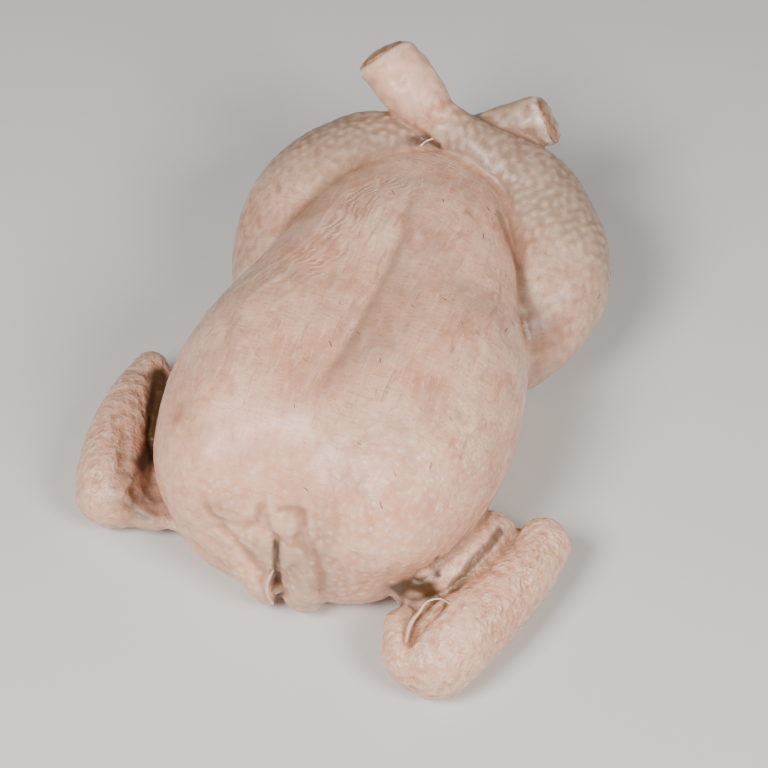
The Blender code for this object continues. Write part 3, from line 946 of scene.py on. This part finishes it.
# Cut hocks, strands and pinfeather stubs
def hock_end(cut, radius, turn):
    """A cut joint: a lens of tissue set in the end of the leg, with two knuckles of cartilage 4.3 mm to
    each side of its middle, 3.9 mm in half width and 4.6 mm in half height, and a pit between them."""
    bm = bmesh.new()
    bmesh.ops.create_icosphere(bm, subdivisions=5, radius=1.0)
    mesh = bpy.data.meshes.new("hock end")
    bm.to_mesh(mesh)
    bm.free()
    p = points_of(mesh) * np.array((radius, radius, 2.2)) * MM
    u, v = p[:, 0] / MM, p[:, 1] / MM
    knuckle = sum(np.exp(-(((u - middle) / 3.9) ** 2 + (v / 4.6) ** 2)) for middle in (4.3, -4.3))
    pit = np.exp(-((u / 1.6) ** 2 + (v / 3.2) ** 2))
    up = p[:, 2] > 0
    p[:, 2] += up * (0.9 * knuckle - 0.8 * pit + 0.3 * ripple(p, 4, int(radius * 10))) * MM
    cartilage = mesh.attributes.new("cartilage", "FLOAT", "POINT")
    cartilage.data.foreach_set("value", np.clip(knuckle * 1.25 - 0.3, 0, 1))
    place_points(mesh, p)
    point, way = Vector(cut[0]) * MM, Vector(cut[1]).normalized()
    facing = way.to_track_quat("Z", "Y").to_matrix().to_4x4()
    mesh.transform(Matrix.Translation(point - way * 0.9 * MM) @ facing @ Matrix.Rotation(turn, 4, "Z"))
    return mesh


def strand(points):
    """A thin cord of skin or tendon through some points of x, y, z and radius in millimetres."""
    curve = bpy.data.curves.new("strand", "CURVE")
    curve.dimensions = "3D"
    curve.bevel_depth = 1.0
    curve.bevel_resolution = 3
    curve.use_fill_caps = True
    path = smooth_path(points, 6)
    spline = curve.splines.new("POLY")
    spline.points.add(len(path) - 1)
    for knot, (x, y, z, radius) in zip(spline.points, path):
        knot.co, knot.radius = (x, y, z, 1.0), radius
    thing = bpy.data.objects.new("strand", curve)
    bpy.context.scene.collection.objects.link(thing)
    mesh = bpy.data.meshes.new_from_object(thing.evaluated_get(bpy.context.evaluated_depsgraph_get()))
    bpy.data.objects.remove(thing)
    return mesh


def centred(p):
    """Points moved from the form's own frame to the part's."""
    return p - np.array((*CENTRE, 0)) * MM


def joined(name, meshes, material):
    bm = bmesh.new()
    for mesh in meshes:
        bm.from_mesh(mesh)
    whole = bpy.data.meshes.new(name)
    bm.to_mesh(whole)
    bm.free()
    place_points(whole, centred(points_of(whole)))
    return piece(name, whole, material)


def piece(name, mesh, material):
    mesh.name = name
    mesh.materials.clear()
    mesh.materials.append(material)
    mesh.shade_smooth()
    thing = bpy.data.objects.new(name, mesh)
    bpy.context.scene.collection.objects.link(thing)
    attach(thing, "root")
    return thing


def stub_mesh():
    """A pinfeather stub: a thin spindle that lies along X."""
    bm = bmesh.new()
    bmesh.ops.create_uvsphere(bm, u_segments=8, v_segments=6, radius=1.0)
    radius, half_length = 0.32 * MM, 1.9 * MM
    bmesh.ops.transform(bm, matrix=Matrix.Diagonal((radius, radius, half_length, 1)), verts=bm.verts)
    bmesh.ops.rotate(bm, matrix=Matrix.Rotation(math.pi / 2, 3, "Y"), verts=bm.verts)
    for vert in bm.verts:
        vert.co.yz *= 0.65 + 0.35 * vert.co.x / half_length
    mesh = bpy.data.meshes.new("stub")
    bm.to_mesh(mesh)
    bm.free()
    return mesh


def stub_scatter(stub, material):
    """A node group that scatters stubs over the skin, lying along its grain."""
    tree = bpy.data.node_groups.new("pinfeather_scatter", "GeometryNodeTree")
    tree.interface.new_socket("Geometry", in_out="INPUT", socket_type="NodeSocketGeometry")
    for name, kind, value in (("Spacing", "Float", 0.010), ("Density", "Float", 4200.0), ("Seed", "Int", 7)):
        socket = tree.interface.new_socket(name, in_out="INPUT", socket_type=f"NodeSocket{kind}")
        socket.default_value = value
    tree.interface.new_socket("Geometry", in_out="OUTPUT", socket_type="NodeSocketGeometry")
    given = add(tree, "NodeGroupInput").outputs
    marks = add(tree, "GeometryNodeInputNamedAttribute", {"Name": "marks"}, data_type="FLOAT")
    points = add(
        tree, "GeometryNodeDistributePointsOnFaces",
        {"Mesh": given["Geometry"], "Distance Min": given["Spacing"], "Density Max": given["Density"],
         "Density Factor": marks.outputs[0], "Seed": given["Seed"]},
        distribute_method="POISSON",
    )
    along = add(
        tree, "FunctionNodeAlignRotationToVector",
        {"Rotation": points.outputs["Rotation"], "Vector": (0.62, -0.78, 0.0)},
        axis="X", pivot_axis="Z",
    )
    turn = add(
        tree, "FunctionNodeRandomValue", {0: (0.0, -0.12, -0.6), 1: (0.0, 0.12, 0.6)},
        data_type="FLOAT_VECTOR",
    )
    turned = add(
        tree, "FunctionNodeRotateRotation", {"Rotation": along.outputs[0], "Rotate By": turn.outputs[0]},
        rotation_space="LOCAL",
    )
    size = add(tree, "FunctionNodeRandomValue", {2: 0.45, 3: 1.15}, data_type="FLOAT").outputs[1]
    source = add(tree, "GeometryNodeObjectInfo", {"Object": stub})
    copies = add(
        tree, "GeometryNodeInstanceOnPoints",
        {"Points": points.outputs["Points"], "Instance": source.outputs["Geometry"],
         "Rotation": turned.outputs[0], "Scale": size},
    )
    real = add(tree, "GeometryNodeRealizeInstances", {0: copies.outputs[0]})
    painted = add(tree, "GeometryNodeSetMaterial", {0: real.outputs[0], "Material": material})
    output = tree.nodes.new("NodeGroupOutput")
    tree.links.new(painted.outputs[0], output.inputs[0])
    return tree


def add_stubs(bird, material):
    stub = bpy.data.objects.new("stub", stub_mesh())
    bpy.context.scene.collection.objects.link(stub)
    modifier = bird.modifiers.new("Scatter", "NODES")
    modifier.node_group = stub_scatter(stub, material)
    graph = bpy.context.evaluated_depsgraph_get()
    mesh = bpy.data.meshes.new_from_object(bird.evaluated_get(graph))
    bird.modifiers.remove(modifier)
    bpy.data.objects.remove(stub)
    piece("pinfeathers", mesh, material)


def tissue_material(name, size, roughness, base, layers, fields=()):
    """Wet soft tissue: a moist surface that light sinks into, mottled by grains of a size in millimetres."""
    material = bpy.data.materials.new(name)
    material.use_nodes = True
    tree = material.node_tree
    shader = tree.nodes["Principled BSDF"]
    where = add(tree, "ShaderNodeTexCoord").outputs["Object"]
    clouds = {"cloud": ("plain", size, 3, 0.55, 0.0), "bumps": ("plain", size / 3, 3, 0.55, 0.0)}
    values = patterned(tree, {"plain": where}, clouds, {})
    for field in fields:
        values[field] = add(tree, "ShaderNodeAttribute", attribute_name=field).outputs["Fac"]
    tree.links.new(painted(tree, values, base, layers), shader.inputs["Base Color"])
    bump = add(tree, "ShaderNodeBump", {"Height": values["bumps"], "Strength": 0.5, "Distance": 0.4 * MM})
    tree.links.new(bump.outputs[0], shader.inputs["Normal"])
    shader.inputs["Roughness"].default_value = roughness
    shader.inputs["Subsurface Weight"].default_value = 0.25
    shader.inputs["Subsurface Scale"].default_value = 2 * MM
    shader.inputs["Coat Weight"].default_value = 0.2
    return material


# Thin strands of x, y, z and radius: in the right wing's hollow, between the hocks, and on the neck's slit
STRANDS = [
    [(61, -114.3, 27, 0.5), (60.2, -108.6, 28, 0.8), (60.3, -104, 28, 0.8), (61.6, -99.5, 28.5, 0.6),
     (63.5, -95.7, 31.4, 0.4), (67.8, -93, 32, 0.35), (73, -95.5, 34.6, 0.3)],
    [(-12, 98, 82, 0.7), (-8, 103, 86.2, 0.45), (-4, 105, 88.5, 0.45), (-1, 107, 92, 0.7)],
    [(0, -105, 35, 0.4), (-1.6, -106, 30, 0.7), (-2.4, -107, 26, 0.8), (-2, -107.5, 20, 0.7),
     (-0.6, -106, 12, 0.5)],
]


def main():
    bird = skin_body()
    relieve(bird.data)
    place_points(bird.data, centred(points_of(bird.data)))
    bird.data.name = "skin"
    bird.data.materials.clear()
    bird.data.materials.append(skin_material())
    bird.data.shade_smooth()
    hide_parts("whole_chicken")
    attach(bird, "root")
    mottled = [("cloud", 0.38, 0.62)]
    cut_tissue = tissue_material(
        "cut_tissue", 3.85, 0.35, "8d6a44",
        [(mottled, 1.0, "b88670"), ([("cartilage", 0.0, 1.0)], 1.0, "d8b49c")], fields=("cartilage",),
    )
    tendon = tissue_material("tendon", 5.0, 0.35, "e0b79c", [(mottled, 1.0, "f1d2ba")])
    quill = tissue_material("pinfeather", 6.67, 0.5, "6f4a3b", [(mottled, 1.0, "8c6350")])
    ends = [hock_end(CUT_RIGHT, 11.4, 0.4), hock_end(CUT_LEFT, 10.4, 1.2)]
    joined("hock_ends", ends, cut_tissue)
    joined("strands", [strand(points) for points in STRANDS], tendon)
    add_stubs(bird, quill)
    set_stage()


main()
